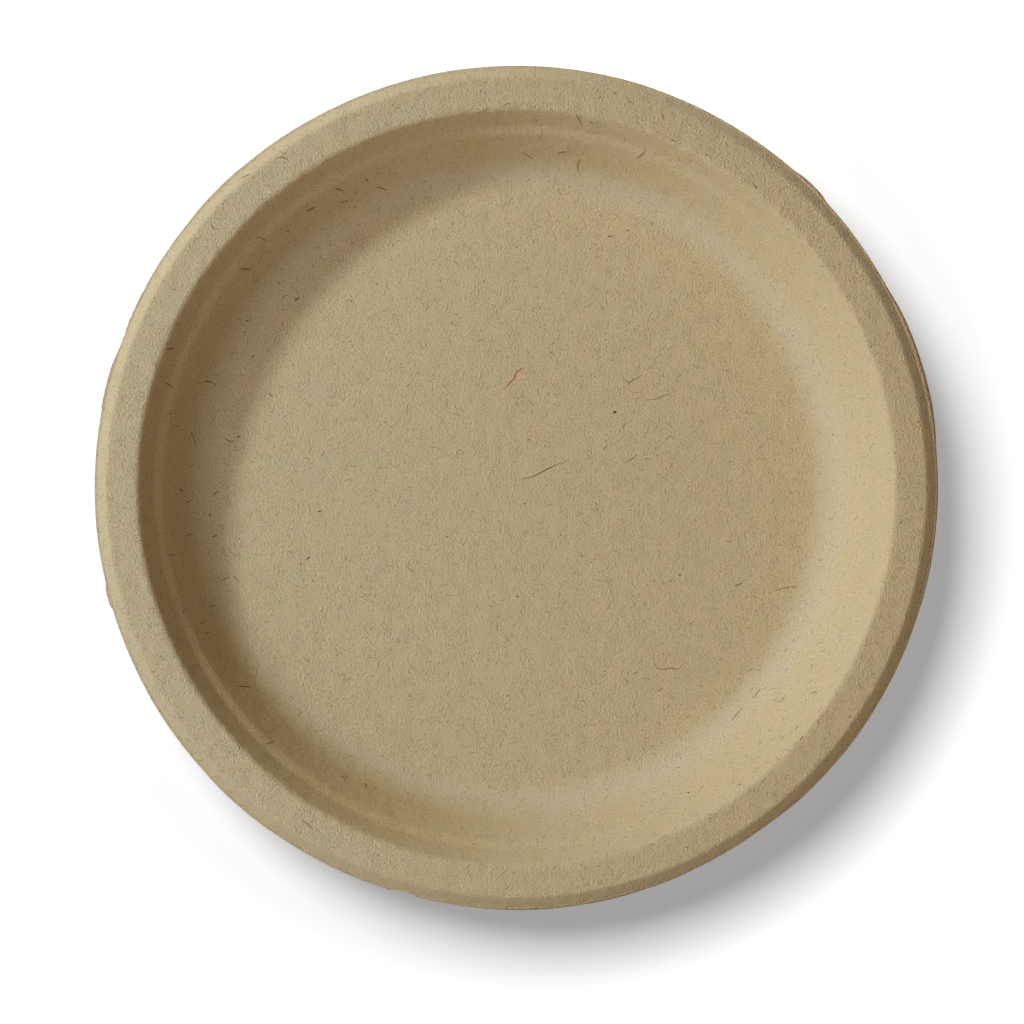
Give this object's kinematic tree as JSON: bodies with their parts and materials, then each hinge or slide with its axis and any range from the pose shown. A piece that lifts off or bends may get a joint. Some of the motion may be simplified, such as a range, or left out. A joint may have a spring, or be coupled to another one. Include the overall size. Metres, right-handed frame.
{
  "type": "moulded pulp dinner plate",
  "caption": "Round one-piece plate of moulded paper pulp with a flat floor, sloping stepped wall, flat rim, turned-down skirt and ragged uncut lip.",
  "frame": {"origin": "centre of the plate's flat underside, on the surface that it stands on", "axes": "+Z is the plate's axis, pointing up out of the food side; +X and +Y are the picture's right and top"},
  "size_m": [0.225, 0.2252, 0.02],
  "materials": {
    "pulp": "matt unbleached pulp with visible fibres, brown specks and a fine pressed grain"
  },
  "bodies": {
    "root": {"plate": "pulp"}
  },
  "joints": []
}
